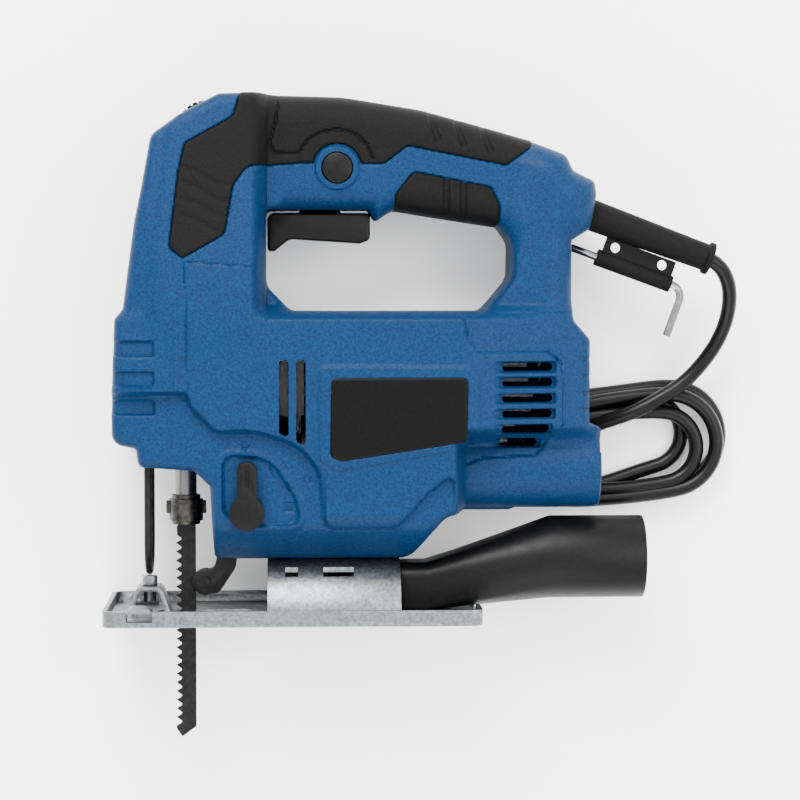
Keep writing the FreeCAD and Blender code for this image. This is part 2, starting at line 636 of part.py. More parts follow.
# ---- base, bracket and dust tube ----
def base_plate():
    plan = [(PLATE_FRONT, -PLATE_HALF, 5), (PLATE_REAR, -PLATE_HALF, 5), (PLATE_REAR, PLATE_HALF, 5),
            (PLATE_FRONT, PLATE_HALF, 5)]
    plate = prism(plan, "y", 0, FLANGE_H)
    plate = plate.cut(prism(inset_corners(plan, 1.8), "y", SOLE_T, FLANGE_H + 1))
    blade_way = [(-97, -6, 5), (-58, -6, 4), (-58, 6, 4), (-97, 6, 5)]
    plate = plate.cut(prism(blade_way, "y", -1, 5))
    tunnels = []
    for z_low, z_high in ((-PLATE_HALF, -24), (24, PLATE_HALF)):
        outer = prism([(-109.5, 0, 0.5), (-95.5, 0, 0.5), (-98.5, 7.5, 2), (-106.5, 7.5, 2)], "z", z_low, z_high)
        tunnels.append(outer)
    plate = fuse([plate] + tunnels)
    bar_way = block((-107.6, SOLE_T, -40), (-97.4, 5.4, 40))
    tube_way = block((PLATE_REAR - 5, SOLE_T, -14.5), (PLATE_REAR + 5, FLANGE_H + 1, 14.5))
    plate = plate.cut(bar_way).cut(tube_way)
    bridge = prism([(-109, 1, 0.5), (-91, 1, 0.5), (-95, 12.6, 3), (-105, 12.6, 3)], "z", -8, 8)
    bridge = bridge.cut(prism([(-107.2, 0, 0.3), (-92.8, 0, 0.3), (-96.2, 10.8, 2), (-103.8, 10.8, 2)], "z", -9, 9))
    bridge = bridge.cut(rod((-100, 8, 0), (-100, 14, 0), 2.6))
    return fuse([plate, bridge])


def guide_screw():
    return fuse([rod((-100, 6.2, 0), (-100, 12.8, 0), 2.5), rod((-100, 12.7, 0), (-100, 16.6, 0), 3.0)])


def tilt_bracket():
    arch = ring((ARCH_FRONT, 0, 0), (ARCH_REAR, 0, 0), ARCH_R, ARCH_R - ARCH_T)
    arch = arch.common(block((-70, SOLE_T, -40), (20, 40, 40)))
    for x_low, x_high in ((-46, -41), (-31, -19)):
        way = block((x_low, 17.6, -30), (x_high, 30, 30)).cut(block((x_low - 1, 0, -14), (x_high + 1, 40, 14)))
        arch = arch.cut(way)
    feet = [block((ARCH_FRONT, SOLE_T, 23.8), (ARCH_REAR, SOLE_T + 1.6, 31)),
            block((ARCH_FRONT, SOLE_T, -31), (ARCH_REAR, SOLE_T + 1.6, -23.8))]
    return fuse([arch] + feet)


def bracket_rivets():
    rivets = [rod((x, SOLE_T + 1.6, z), (x, SOLE_T + 3.0, z), 2.2) for x in (-46, -8) for z in (-28, 28)]
    return Part.makeCompound(rivets)


def dust_tube_form(inset):
    """Outer form of the tube, or its bore when inset is the wall."""
    reach = 1.0 if inset else 0.0
    section = inset_corners([(2.4, -12, 3), (22, -12, 6), (22, 12, 6), (2.4, 12, 3)], inset)
    duct = prism(section, "x", -20 - reach, 10)
    entry = rounded_wire(section, PLANES["x"][0], 10)
    mouth = Part.Wire(Part.makeCircle(TUBE_R - inset, Vector(60, TUBE_Y, 0), Vector(1, 0, 0)))
    flare = Part.makeLoft([entry, mouth], True, True)
    straight = rod((60, TUBE_Y, 0), (TUBE_END + reach, TUBE_Y, 0), TUBE_R - inset)
    return fuse([duct, flare, straight])


def dust_tube():
    return dust_tube_form(0).cut(dust_tube_form(TUBE_WALL))


# ---- cord, strain relief and key ----
def relief_direction():
    return Vector(RELIEF_END[0] - RELIEF_START[0], RELIEF_END[1] - RELIEF_START[1], 0).normalize()


def strain_relief():
    """Tapered rubber sleeve with a flange held inside the housing and a bead at its end."""
    start, end = Vector(*RELIEF_START, 0), Vector(*RELIEF_END, 0)
    along = relief_direction()
    sleeve = rod(tuple(start), tuple(end), 6.4, 5.4)
    root = rod(tuple(start - along * 10), tuple(start), 6.4)
    bead = rod(tuple(end - along * 2.5), tuple(end), 6.6)
    bore = rod(tuple(start - along * 20), tuple(end + along * 5), CORD_D / 2)
    return fuse([sleeve, root, bead]).cut(bore)


def inner_cord():
    """The stretch of the lead inside the strain relief, from its clamp to the free end."""
    along = relief_direction()
    start = Vector(*RELIEF_START, 0) - along * 26
    return rod(tuple(start), tuple(Vector(*RELIEF_END, 0)), CORD_D / 2)


def key_holder():
    along = relief_direction()
    across = Vector(along.y, -along.x, 0)
    origin = Vector(*RELIEF_START, 0)

    def at(s, t, z=0.0):
        return tuple(origin + along * s + across * t + Vector(0, 0, z))

    web_points = [at(14, 4), at(43.5, 4), at(43.5, 13), at(14, 13)]
    web = prism([p[:2] for p in web_points], "z", -1.5, 1.5)
    for s in (18.5, 38.5):
        web = web.cut(rod(at(s, 9.0, -3), at(s, 9.0, 3), 2.0))
    sleeve = rod(at(12.5, 15.0), at(44.5, 15.0), 3.4)
    holder = fuse([web, sleeve]).cut(rod(at(-1, 0), at(60, 0), 6.2))
    return holder.cut(rod(at(0, 15.0), at(60, 15.0), KEY_R + 0.25))


def hex_key():
    along = relief_direction()
    across = Vector(along.y, -along.x, 0)
    origin = Vector(*RELIEF_START, 0)
    long_start = origin + along * 1.6 + across * 15.0
    corner = origin + along * 50.0 + across * 15.0
    short_end = corner + across * 20.0
    bend_r = 5.0
    a = corner - along * bend_r
    b = corner + across * bend_r
    centre = corner - along * bend_r + across * bend_r
    middle = centre + (along - across).normalize() * bend_r
    path = Part.Wire([Part.LineSegment(long_start, a).toShape(), Part.Arc(a, middle, b).toShape(),
                      Part.LineSegment(b, short_end).toShape()])
    points = []
    for k in range(6):
        angle = math.radians(60 * k + 30)
        points.append(long_start + across * (KEY_R * math.cos(angle)) + Vector(0, 0, KEY_R * math.sin(angle)))
    section = Part.makePolygon(points + points[:1])
    return path.makePipeShell([section], True, True)


def route_wire(points):
    """Straight runs joined by tangent arcs, each as large as its shorter run allows."""
    points = [Vector(*p) for p in points]
    edges = []
    last = points[0]
    radii = []
    for before, p, after in zip(points, points[1:], points[2:]):
        u, v = before - p, after - p
        reach = 0.45 * min(u.Length, v.Length)
        half_turn = (math.pi - u.getAngle(v)) / 2
        radii.append(reach / math.tan(half_turn))
        u.normalize()
        v.normalize()
        start, end = p + u * reach, p + v * reach
        bisector = (u + v).normalize()
        centre = p + bisector * math.hypot(radii[-1], reach)
        edges.append(Part.LineSegment(last, start).toShape())
        edges.append(Part.Arc(start, centre - bisector * radii[-1], end).toShape())
        last = end
    edges.append(Part.LineSegment(last, points[-1]).toShape())
    print("radii", [round(r, 1) for r in radii])
    return Part.Wire(edges)


def cord_tube(points):
    wire = route_wire(points)
    start = Vector(*points[0])
    direction = Vector(*points[1]) - start
    circle = Part.Wire(Part.makeCircle(CORD_D / 2, start, direction))
    tube = wire.makePipeShell([circle], True, False)
    expected = math.pi * CORD_D ** 2 / 4 * wire.Length
    print("cord length", round(wire.Length, 1), "volume ratio", round(tube.Volume / expected, 4))
    return tube


def cord_coil():
    """Outer form of the loose hank: low where it runs under the rear barrel, higher beside it."""
    floor = -HALF_WIDTH
    under = prism([(28, 46, 7), (28, 63, 7), (90, 63, 1), (90, 46, 1)], "z", floor, floor + 13)
    fanned = prism([(50, 60, 1), (62, 77, 5), (90, 80, 1), (90, 60, 1)], "z", floor, floor + 8.8)
    beside = prism([(80.5, 50, 2), (80.5, 84, 4), (100, 92, 8), (116, 93.5, 8), (131, 84, 10), (136, 68, 12),
                    (131, 55, 8), (110, 45.5, 12), (86, 46, 4)], "z", floor, floor + 16)
    return fuse([under, fanned, beside])


def plug():
    x, y = PLUG_AT
    z = 7.2 - HALF_WIDTH
    body = prism([(x - 19, y - 17.5, 8), (x + 8, y - 17.5, 8), (x + 17, y - 6, 3), (x + 20, y - 5, 2),
                  (x + 20, y + 5, 2), (x + 17, y + 6, 3), (x + 8, y + 17.5, 8), (x - 19, y + 17.5, 8)],
                 "z", z - 7, z + 7)
    pins = [rod((x - 20, y + side * 9.5, z), (x - 38, y + side * 9.5, z), 2.0) for side in (-1, 1)]
    necks = [rod((x - 18, y + side * 9.5, z), (x - 20, y + side * 9.5, z), 1.7) for side in (-1, 1)]
    return fuse([body] + necks + pins)


SUB_PARTS = {
    "side_labels": lambda: Part.makeCompound([label(1), label(-1)]), "housing_screws": housing_screws,
    "stator_core": stator_core, "field_coils": field_coils, "motor_shaft": motor_shaft,
    "armature_core": armature_core, "armature_windings": armature_windings, "commutator": commutator,
    "cooling_fan": fan, "brush_holders": brush_holders, "carbon_brushes": brushes,
    "motor_bearings": lambda: Part.makeCompound([bearing(-60.2, -53.2), bearing(26, 33)]),
    "pinion": pinion, "drive_gear": drive_gear, "gear_bush": gear_bush, "gear_spindle": gear_spindle,
    "crank_pin": crank_pin, "crank_roller": crank_roller, "balance_weight": balance_weight,
    "gear_plate": gear_plate, "plunger": plunger, "plunger_yoke": yoke,
    "plunger_bushes": lambda: Part.makeCompound([plunger_bush(62, 71), plunger_bush(112, 122)]),
    "clamp_body": clamp_body, "clamp_ring": clamp_ring, "saw_blade": blade, "guard_wire": guard_wire,
    "trigger": trigger, "lock_button": lock_button, "speed_dial": speed_dial, "dial_pin": dial_pin,
    "speed_module": speed_module, "switch_block": switch_block, "capacitor": capacitor,
    "cord_clamp": cord_clamp, "orbital_lever": orbital_lever,
    "roller_arm": roller_arm, "guide_roller": roller, "roller_pin": roller_pin, "arm_pivot": arm_pivot,
    "base_plate": base_plate, "guide_screw": guide_screw, "tilt_bracket": tilt_bracket,
    "bracket_rivets": bracket_rivets, "dust_tube": dust_tube, "strain_relief": strain_relief,
    "key_holder": key_holder, "hex_key": hex_key, "inner_cord": inner_cord,
}
CORD_PARTS = {
    "cord_lead": lambda: cord_tube(LEAD_ROUTE), "cord_tail": lambda: cord_tube(TAIL_ROUTE),
    "cord_coil": cord_coil, "mains_plug": plug,
}


def main():
    os.makedirs("parts", exist_ok=True)
    shapes = housing_halves()
    for name, make in SUB_PARTS.items():
        shapes[name] = make()
    box = FreeCAD.BoundBox()
    for shape in shapes.values():
        box.add(shape.BoundBox)
    shift = Vector(-box.Center.x, -box.Center.y, HALF_WIDTH)
    print("row frame shift", round(shift.x, 4), round(shift.y, 4), shift.z, "box", box)
    for name, make in CORD_PARTS.items():
        shapes[name] = make()
    for name, shape in shapes.items():
        shape = shape.translated(shift)
        print(name, len(shape.Solids), round(shape.Volume, 1), shape.isValid(), shape.isClosed())
        shape.exportStep("parts/" + name + ".step")


main()
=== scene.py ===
import json
import math
import bmesh
import bpy
import numpy as np
from mathutils import Matrix, Vector


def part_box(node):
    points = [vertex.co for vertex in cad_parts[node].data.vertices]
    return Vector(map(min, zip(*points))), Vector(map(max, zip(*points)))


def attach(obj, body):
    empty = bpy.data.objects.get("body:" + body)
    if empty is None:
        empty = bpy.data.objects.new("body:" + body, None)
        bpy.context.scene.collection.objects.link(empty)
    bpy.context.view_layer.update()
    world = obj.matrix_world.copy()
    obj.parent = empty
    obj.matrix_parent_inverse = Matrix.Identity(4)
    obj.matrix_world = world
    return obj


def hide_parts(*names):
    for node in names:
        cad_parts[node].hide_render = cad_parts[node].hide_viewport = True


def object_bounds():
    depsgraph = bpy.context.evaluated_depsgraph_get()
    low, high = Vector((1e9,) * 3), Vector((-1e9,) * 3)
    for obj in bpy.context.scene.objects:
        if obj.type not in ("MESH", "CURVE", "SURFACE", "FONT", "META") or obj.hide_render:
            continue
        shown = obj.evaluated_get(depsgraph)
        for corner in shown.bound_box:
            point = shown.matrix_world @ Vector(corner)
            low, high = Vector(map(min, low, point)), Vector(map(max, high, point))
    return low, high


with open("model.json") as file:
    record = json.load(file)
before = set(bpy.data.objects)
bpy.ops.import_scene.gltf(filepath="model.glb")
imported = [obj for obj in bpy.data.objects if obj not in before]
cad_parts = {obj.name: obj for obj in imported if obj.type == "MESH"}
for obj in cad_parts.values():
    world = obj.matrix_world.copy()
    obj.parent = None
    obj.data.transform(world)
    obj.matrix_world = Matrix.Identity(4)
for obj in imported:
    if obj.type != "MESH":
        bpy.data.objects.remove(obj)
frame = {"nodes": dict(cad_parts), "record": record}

# Jigsaw power tool, lying on its right side on a pale bench and seen from above.
# Drawing frame, millimetres: x from the blade to the cord, y from the sole to the handle,
# z = 0 the parting plane of the housing and +z the tool's left side. place() gives metres.
cad_low, cad_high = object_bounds()
MM = 0.001
FLOOR = -34.0                # bench height in the drawing frame
PLATE_FRONT = -117.0         # front edge of the base plate in the drawing frame
# The drawing frame's origin, read off the CAD: base plate front, sole, and parting plane.
HOME = Vector((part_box("base_plate")[0][0] - PLATE_FRONT * MM,
               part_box("base_plate")[0][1],
               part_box("housing_left")[0][2]))


def place(x, y, z=0.0):
    return HOME + Vector((x, y, z)) * MM


# ---- camera, floor and light ----
VIEW_DISTANCE = 1.0
VIEW_WIDTH = 0.32            # metres across the picture at the view centre
VIEW_TILT = math.radians(2.7)            # lean from straight above, towards the handle
VIEW_TURN = math.radians(2.7)            # and towards the blade
VIEW_CENTRE = place(0, 86.4, 0)
SENSOR = 36.0                # mm
CLIP_NEAR, CLIP_FAR = 0.01, 20
BENCH_HALF = 3.0
BENCH_TONE = 0.97
BENCH_ROUGHNESS = 0.7
WORLD_POWER = 3.4
# Name, place and size in metres, and power in watts. All lamps face the view centre.
LAMPS = [
    ("key", (-0.35, 1.15, 1.1), 0.8, 68),
    ("fill", (0.9, 0.25, 1.2), 1.0, 22),
    ("low", (-0.2, -1.0, 0.9), 0.9, 16),
]


def make_camera():
    camera = bpy.data.objects.new("Camera", bpy.data.cameras.new("Camera"))
    bpy.context.scene.collection.objects.link(camera)
    back = Vector((-math.tan(VIEW_TURN), math.tan(VIEW_TILT), 1)).normalized()
    right = Vector((0, 1, 0)).cross(back).normalized()
    up = back.cross(right)
    turn = Matrix((right, up, back)).transposed().to_4x4()
    camera.matrix_world = Matrix.Translation(VIEW_CENTRE + back * VIEW_DISTANCE) @ turn
    camera.data.sensor_width = SENSOR
    camera.data.lens = SENSOR * VIEW_DISTANCE / VIEW_WIDTH
    camera.data.clip_start = CLIP_NEAR
    camera.data.clip_end = CLIP_FAR
    bpy.context.scene.camera = camera


def make_floor():
    mesh = bpy.data.meshes.new("bench")
    s, z = BENCH_HALF, cad_low[2]
    mesh.from_pydata([(-s, -s, z), (s, -s, z), (s, s, z), (-s, s, z)], [], [(0, 1, 2, 3)])
    bench = bpy.data.objects.new("bench", mesh)
    bpy.context.scene.collection.objects.link(bench)
    mat = bpy.data.materials.new("bench_white")
    mat.use_nodes = True
    shader = mat.node_tree.nodes["Principled BSDF"]
    shader.inputs["Base Color"].default_value = (BENCH_TONE, BENCH_TONE, BENCH_TONE, 1)
    shader.inputs["Roughness"].default_value = BENCH_ROUGHNESS
    mesh.materials.append(mat)


def make_lights():
    world = bpy.data.worlds.new("studio")
    world.use_nodes = True
    background = world.node_tree.nodes["Background"]
    background.inputs["Color"].default_value = (1, 1, 1, 1)
    background.inputs["Strength"].default_value = WORLD_POWER
    bpy.context.scene.world = world
    for name, at, size, power in LAMPS:
        data = bpy.data.lights.new(name, "AREA")
        data.size = size
        data.energy = power
        lamp = bpy.data.objects.new(name, data)
        bpy.context.scene.collection.objects.link(lamp)
        lamp.location = at
        lamp.rotation_euler = (VIEW_CENTRE - Vector(at)).to_track_quat("-Z", "Y").to_euler()


# ---- cord ----
CORD_D = 6.0                 # mm
CORD_START = [(112.0, 147.36, 0.0), (119.0, 144.8, 0.0)]
LEAD_ROUTE = [(125.0, 142.6, 0), (130.2, 138.5, -1.5), (133.6, 131, -5), (134, 121, -10),
              (131, 110.5, -14), (125.2, 101, -17), (117.5, 92.5, -18)]
CROSSING = [(108, 86.5, -17.4), (97, 80.5, -18.2), (86, 76.5, -21.5), (76, 73, -24.5)]
TAIL_ROUTE = [(60, 77.5, -30.9), (57.5, 92, -31), (56, 112, -30.8), (56.5, 133, -31),
              (56.5, 153, -30.6), (50, 170, -29.5), (35, 180.5, -27.6), (17, 182, -26.8)]
# One row per turn of the hank, lowest first: centre (x, y) and radius of the left fold, the same
# for the right fold, and the height above the bench.
TURNS = [
    (65.0, 63.0, 20.0, 113.5, 70.0, 21.0, 3.1),
    (70.0, 62.0, 15.5, 104.0, 71.0, 14.5, 3.1),
    (66.0, 62.5, 19.0, 112.0, 67.5, 20.5, 9.3),
    (70.0, 62.0, 15.0, 109.0, 65.5, 15.0, 9.3),
]
LEAD_IN = [(67, 71.5, -24.7), (61.2, 66.5, -24.7), (60.6, 58.5, -24.7), (66, 51.5, -24.7),
           (76, 48.8, -24.7)]
LEAD_OUT = [(75, 86, -30.9), (65.5, 84.6, -30.9), (59.6, 86.5, -31)]
STRAND_BOW = 0.8             # how far a strand bows out between its folds
CLIMB = (0.2, 0.5, 0.8)      # shares of the rise to the next turn, along the lower strand


def fold_point(x, y, radius, degrees, z):
    a = math.radians(degrees)
    return (x + radius * math.cos(a), y + radius * math.sin(a), FLOOR + z)


def coil_points():
    """Route of the hank from its top turn down, each turn an upper and a lower strand."""
    points = []
    for turn, (lx, ly, lr, rx, ry, rr, z) in enumerate(TURNS):
        step_up = TURNS[min(turn + 1, len(TURNS) - 1)][-1] - z
        middle = (lx + rx) / 2
        points += [fold_point(lx, ly, lr, 180 - 22.5 * step, z) for step in range(5)]
        points.append((middle, (ly + lr + ry + rr) / 2 + STRAND_BOW, FLOOR + z))
        points += [fold_point(rx, ry, rr, 90 - 30 * step, z) for step in range(7)]
        points.append((middle, (ly - lr + ry - rr) / 2 - STRAND_BOW,
                       FLOOR + z + step_up * CLIMB[0]))
        points += [fold_point(lx, ly, lr, 270 - 40 * step, z + step_up * share)
                   for step, share in enumerate(CLIMB[1:])]
    # The lead-out stands for the lowest left fold, and the lead-in for the last two top points.
    return points[5:-2][::-1]


def make_cord():
    curve = bpy.data.curves.new("cord", "CURVE")
    curve.dimensions = "3D"
    # the lead-out ends beyond the tail's first point, which is left out
    route = (CORD_START + LEAD_ROUTE + CROSSING + LEAD_IN + coil_points() + LEAD_OUT
             + TAIL_ROUTE[1:])
    spline = curve.splines.new("NURBS")
    spline.points.add(len(route) - 1)
    for point, p in zip(spline.points, route):
        point.co = (*place(*p), 1)
    spline.order_u = 3
    spline.use_endpoint_u = True
    spline.resolution_u = 10
    curve.bevel_depth = CORD_D / 2 * MM
    curve.bevel_resolution = 5
    curve.use_fill_caps = True
    return bpy.data.objects.new("cord", curve)


# ---- materials ----
# tones: the two colours it wanders between; grade: scale and detail of that noise.
# rough: one roughness, or low, high and noise scale; bump: noise scale, strength and depth (m).
LOOKS = {
    "shell_blue": dict(tones=((0.0002, 0.0085, 0.031), (0.0006, 0.0185, 0.060)), grade=(1100, 6),
                       rough=(0.42, 0.6, 500), bump=(1500, 0.45, 0.00025), gloss=0.08),
    "rubber_black": dict(tones=((0.0010, 0.0010, 0.0011), (0.0028, 0.0028, 0.003)), grade=(1400, 5),
                         rough=0.68, bump=(2000, 0.4, 0.0002), gloss=0.07),
    "plastic_black": dict(tones=((0.0007, 0.0007, 0.0008), (0.0018, 0.0018, 0.002)), grade=(600, 4),
                          rough=(0.34, 0.5, 300), bump=(1300, 0.25, 0.00015), gloss=0.1),
    "label_black": dict(tones=((0.0006, 0.0006, 0.0007), (0.0013, 0.0013, 0.0014)), grade=(900, 4),
                        rough=0.45, bump=(1800, 0.12, 0.0001), gloss=0.06),
    "steel_zinc": dict(tones=((0.085, 0.094, 0.098), (0.17, 0.18, 0.185)), grade=(700, 6),
                       rough=(0.28, 0.5, 260), bump=(500, 0.3, 0.0002), metallic=1.0),
    "steel_dark": dict(tones=((0.018, 0.017, 0.015), (0.05, 0.048, 0.044)), grade=(500, 6),
                       rough=(0.25, 0.5, 250), bump=(800, 0.25, 0.0001), metallic=1.0),
    "steel_bright": dict(tones=((0.12, 0.123, 0.126), (0.2, 0.203, 0.206)), grade=(200, 4),
                         rough=(0.08, 0.2, 300), metallic=1.0),
    "steel_plain": dict(tones=((0.09, 0.088, 0.085), (0.16, 0.157, 0.153)), grade=(250, 5),
                        stretch=(1, 0.1, 1), rough=(0.2, 0.4, 300), metallic=1.0),
    "steel_black": dict(tones=((0.004, 0.004, 0.004), (0.010, 0.0098, 0.0096)), grade=(500, 6),
                        rough=(0.3, 0.52, 300), bump=(900, 0.2, 0.0001), metallic=0.4, gloss=0.12),
    "laminations": dict(tones=((0.008, 0.008, 0.009), (0.03, 0.03, 0.032)), grade=(900, 2),
                        stretch=(8, 0.2, 0.2), rough=0.5, metallic=1.0),
    "copper": dict(tones=((0.006, 0.0025, 0.0012), (0.014, 0.006, 0.003)), grade=(900, 3),
                   rough=0.35, metallic=1.0),
    "carbon": dict(tones=((0.02, 0.02, 0.02), (0.05, 0.05, 0.05)), grade=(900, 4), rough=0.7),
    "aluminium_cast": dict(tones=((0.5, 0.5, 0.52), (0.68, 0.68, 0.7)), grade=(400, 4),
                           rough=0.45, metallic=1.0),
    "bronze": dict(tones=((0.4, 0.25, 0.1), (0.58, 0.4, 0.2)), grade=(500, 4),
                   rough=0.4, metallic=1.0),
    "cord_pvc": dict(tones=((0.0008, 0.0008, 0.0008), (0.0018, 0.0018, 0.0018)), grade=(300, 4),
                     rough=(0.27, 0.42, 200), gloss=0.12),
}
RAMP_ENDS = (0.32, 0.68)     # where the noise reaches each of the two tones
ROUGH_DETAIL, BUMP_DETAIL = 5, 3


def noise(tree, scale, detail, stretch=None):
    """Noise in object coordinates; stretch scales the coordinates along each axis."""
    source = tree.nodes.new("ShaderNodeTexCoord").outputs["Object"]
    if stretch:
        mapping = tree.nodes.new("ShaderNodeMapping")
        mapping.inputs["Scale"].default_value = stretch
        tree.links.new(source, mapping.inputs["Vector"])
        source = mapping.outputs["Vector"]
    texture = tree.nodes.new("ShaderNodeTexNoise")
    texture.inputs["Scale"].default_value = scale
    texture.inputs["Detail"].default_value = detail
    tree.links.new(source, texture.inputs["Vector"])
    return texture.outputs["Fac"]


def make_material(name, tones, grade, rough, metallic=0.0, gloss=0.2, stretch=None, bump=None):
    mat = bpy.data.materials.new(name)
    mat.use_nodes = True
    tree = mat.node_tree
    shader = tree.nodes["Principled BSDF"]
    shader.inputs["Metallic"].default_value = metallic
    shader.inputs["Specular IOR Level"].default_value = gloss
    ramp = tree.nodes.new("ShaderNodeValToRGB")
    for element, position, tone in zip(ramp.color_ramp.elements, RAMP_ENDS, tones):
        element.position = position
        element.color = (*tone, 1)
    tree.links.new(noise(tree, *grade, stretch), ramp.inputs["Fac"])
    tree.links.new(ramp.outputs["Color"], shader.inputs["Base Color"])
    if isinstance(rough, tuple):
        low, high, scale = rough
        spread = tree.nodes.new("ShaderNodeMapRange")
        spread.inputs["To Min"].default_value = low
        spread.inputs["To Max"].default_value = high
        tree.links.new(noise(tree, scale, ROUGH_DETAIL), spread.inputs["Value"])
        tree.links.new(spread.outputs["Result"], shader.inputs["Roughness"])
    else:
        shader.inputs["Roughness"].default_value = rough
    if bump:
        scale, strength, depth = bump
        grain = tree.nodes.new("ShaderNodeBump")
        grain.inputs["Strength"].default_value = strength
        grain.inputs["Distance"].default_value = depth
        tree.links.new(noise(tree, scale, BUMP_DETAIL), grain.inputs["Height"])
        tree.links.new(grain.outputs["Normal"], shader.inputs["Normal"])
    return mat


MATERIALS = {name: make_material(name, **look) for name, look in LOOKS.items()}
SLOT_OF = {part["node"]: part["material_slot"] for part in frame["record"]["subparts"]}


def dress_cad_nodes():
    for node, obj in frame["nodes"].items():
        obj.data.materials.clear()
        obj.data.materials.append(MATERIALS[SLOT_OF[node]])


def finish_piece(obj, body, slot, *nodes):
    """Link a new piece, give it its material, parent it to its body's empty, and hide the CAD nodes it
    stands for.
    """
    bpy.context.scene.collection.objects.link(obj)
    obj.data.materials.clear()
    obj.data.materials.append(MATERIALS[slot])
    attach(obj, body)
    if nodes:
        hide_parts(*nodes)
    return obj


# ---- outlines ----
# Closed outlines in the drawing frame: x, y and corner radius, in mm.
OUTLINE = [
    (-104, 68.8, 2), (-113.2, 70.5, 5), (-113.4, 82, 2), (-112.0, 119.2, 1.5), (-108.8, 123, 2),
    (-104.2, 156.8, 60), (-101.2, 171, 20), (-97.8, 190.5, 6), (-87, 198.3, 4), (-71.5, 206.6, 4),
    (-58, 207, 15), (-23, 206.2, 60), (8, 201.2, 60), (35.5, 193.8, 30), (50.5, 189.5, 3),
    (65.4, 183.8, 5), (68.3, 177.6, 2), (76.8, 173.4, 3), (77.6, 168, 5), (75, 154.5, 5),
    (67.7, 150, 1.5), (67.6, 118.5, 3), (74.4, 111, 3), (74.3, 78, 1), (79.2, 75.8, 2),
    (79.2, 43.3, 3), (46, 43.3, 1), (43.5, 42.4, 1), (17.5, 42.4, 9), (3, 24.2, 8), (-73.8, 24.2, 2.5),
    (-75.2, 54, 3), (-81.5, 60, 3), (-103, 61.5, 2.5),
]
HANDLE_HOLE = [
    (-53.4, 162, 2), (-53.4, 132, 8), (-43.5, 121.9, 5), (32.5, 121.9, 4), (43.6, 134.8, 8),
    (43.6, 149, 8), (38.3, 155.6, 3), (12, 159.6, 5), (-2.5, 162, 2), (-6.5, 159.8, 2),
    (-10, 157.2, 1.5), (-13, 162, 1.5),
]
GRIP = [
    (-61.5, 212, 1), (-66, 197.5, 4), (-84.5, 187, 3), (-87.0, 176, 4), (-90.5, 147, 2),
    (-85.5, 142.6, 2), (-69.2, 152.0, 3), (-65.8, 171, 4), (-60.5, 178.4, 6), (-37.5, 180.2, 1),
    (-34.9, 179.9, 0.5), (-33.7, 183, 2), (-31.6, 185.6, 2), (-28.7, 187.2, 2), (-25.4, 187.8, 2),
    (-22.1, 187.2, 2), (-19.2, 185.6, 2), (-17.1, 183, 2), (-15.9, 179.9, 0.5), (-7, 179.9, 2),
    (2.2, 187, 3),
    (41, 179.4, 2), (50.5, 186.2, 2), (52, 189.5, 1), (50, 212, 1),
]
FINGER_GRIP = [
    (-2.9, 162.2, 1), (-2.4, 168, 3), (4.6, 176.8, 3), (35, 170.8, 3), (38.4, 164, 3), (38.4, 156.5, 2),
    (36, 154.0, 1), (12, 157.2, 2), (-2.8, 160, 1),
]
LOWER_PANEL = [
    (-130, 10, 1), (-130, 90, 1), (-83.4, 91, 4), (-82.8, 86, 4), (-72.8, 75.8, 4), (-58, 76.2, 30),
    (-40.5, 70.5, 20), (-32, 59.5, 14), (-31, 41.4, 5), (-27.6, 36.8, 3), (-3.2, 36.8, 4),
    (10.6, 52.5, 8), (20.4, 60.4, 8), (21.5, 10, 1),
]
LEVER_RECESS = [(-70, 66.2, 4), (-70, 44, 4), (-60.8, 38.6, 7), (-41, 39.4, 3), (-41, 47.5, 18),
                (-52, 65.2, 14)]
BEZEL = [(-32.8, 101.2, 2.5), (29.6, 100.8, 2.5), (29.4, 69.8, 2.5), (-26, 60.2, 3), (-33, 64.8, 3)]
LABEL = [(-27.4, 95.6, 1.5), (24.2, 95.8, 1.5), (23.8, 72.2, 2), (-24, 64.9, 2), (-27.8, 66.4, 1.5)]
# The plate itself reaches a little past its pocket, so that the pocket's ragged rim stays covered.
LABEL_SKIN = [(-28.2, 96.4, 1.8), (25.0, 96.6, 1.8), (24.6, 71.6, 2), (-24, 64.0, 2.2),
              (-28.6, 65.8, 1.8)]
REAR_PANEL = [(22, 122, 1), (23.5, 119, 3), (24.3, 112, 3), (29.4, 106.3, 5), (56.4, 106.4, 4),
              (62.8, 100, 4), (63, 78, 8), (53, 65.4, 6), (31, 64.2, 6), (23.5, 60.5, 4), (22.4, 42, 1),
              (90, 35, 1), (90, 122, 1)]
BUTTON = (-25.4, 178.2)
MOTOR_Y = 60.0
BARREL_R = 16.7


def rounded(corners, step=0.5):
    """Points round a closed outline whose corners (x, y, radius) are tangent arcs."""
    points = []
    count = len(corners)
    for i in range(count):
        x, y, radius = corners[i]
        p = Vector((x, y))
        u = Vector(corners[i - 1][:2]) - p
        v = Vector(corners[(i + 1) % count][:2]) - p
        room = 0.499 * min(u.length, v.length)
        u.normalize()
        v.normalize()
        half = u.angle(v) / 2
        reach = min(radius / math.tan(half), room)
        radius = reach * math.tan(half)
        bisector = (u + v).normalized()
        centre = p + bisector * (radius / math.sin(half))
        start = p + u * reach - centre
        sweep = math.pi - 2 * half
        side = 1 if u.x * v.y - u.y * v.x < 0 else -1
        steps = max(1, int(radius * sweep / step))
        for k in range(steps + 1):
            a = side * sweep * k / steps
            c, s = math.cos(a), math.sin(a)
            points.append((centre.x + start.x * c - start.y * s,
                           centre.y + start.x * s + start.y * c))
    return np.array(points)


